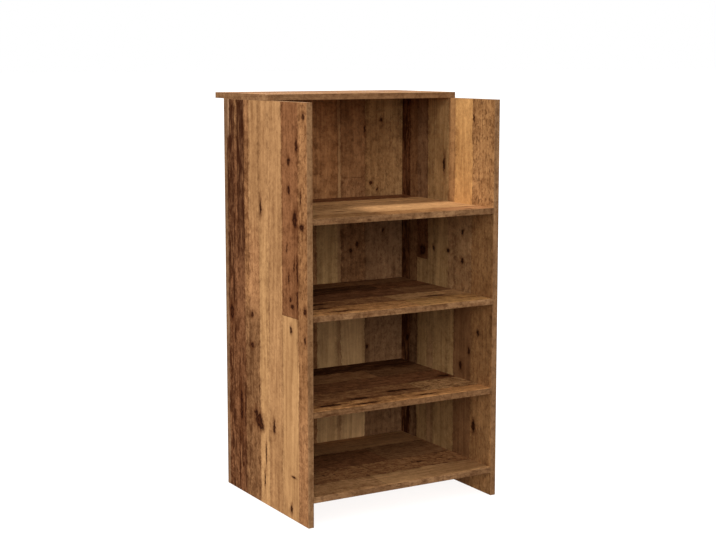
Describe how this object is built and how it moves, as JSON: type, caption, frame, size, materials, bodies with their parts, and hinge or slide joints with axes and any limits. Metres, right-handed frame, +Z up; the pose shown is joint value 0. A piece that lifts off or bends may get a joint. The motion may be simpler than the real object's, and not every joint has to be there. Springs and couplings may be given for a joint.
{
  "type": "reception desk",
  "caption": "Standing-height reception desk in reclaimed-wood look: two side panels, full back, open shelves on the staff side, and a set-back top that overhangs the visitor side.",
  "frame": {"origin": "on the floor, under the middle of the desk's bounding box", "axes": "+Z up, -Y towards the staff who stand at the open shelves, +Y towards the visitor, +X to the right for the staff"},
  "size_m": [0.55, 0.5, 1.035],
  "materials": {
    "old_wood_board": "matt laminate with a reclaimed-plank print",
    "old_wood_band": "matt edge band in the boards' print",
    "beech": "raw turned beech",
    "bolt_steel": "zinc-plated",
    "cam_zinc": "die-cast",
    "peg_plastic": "moulded",
    "cover_foil": "self-adhesive disc in the boards' print"
  },
  "bodies": {
    "root": {"left_side_panel": "old_wood_board", "right_side_panel": "old_wood_board", "top_board": "old_wood_board", "back_panel": "old_wood_board", "bottom_shelf": "old_wood_board", "lower_shelf": "old_wood_board", "middle_shelf": "old_wood_board", "upper_shelf": "old_wood_board", "left_panel_front_band": "old_wood_band", "left_panel_rear_band": "old_wood_band", "left_panel_bottom_band": "old_wood_band", "left_panel_top_band": "old_wood_band", "right_panel_front_band": "old_wood_band", "right_panel_rear_band": "old_wood_band", "right_panel_bottom_band": "old_wood_band", "right_panel_top_band": "old_wood_band", "top_board_front_band": "old_wood_band", "top_board_rear_band": "old_wood_band", "top_board_left_band": "old_wood_band", "top_board_right_band": "old_wood_band", "bottom_shelf_front_band": "old_wood_band", "lower_shelf_front_band": "old_wood_band", "middle_shelf_front_band": "old_wood_band", "upper_shelf_front_band": "old_wood_band", "back_panel_bottom_band": "old_wood_band", "shelf_dowels": "beech", "top_board_dowels": "beech", "bottom_shelf_cam_bolts": "bolt_steel", "upper_shelf_cam_bolts": "bolt_steel", "top_board_cam_bolts": "bolt_steel", "bottom_shelf_cam_discs": "cam_zinc", "upper_shelf_cam_discs": "cam_zinc", "top_board_cam_discs": "cam_zinc", "lower_shelf_pegs": "peg_plastic", "middle_shelf_pegs": "peg_plastic", "top_board_cam_covers": "cover_foil"}
  },
  "joints": []
}
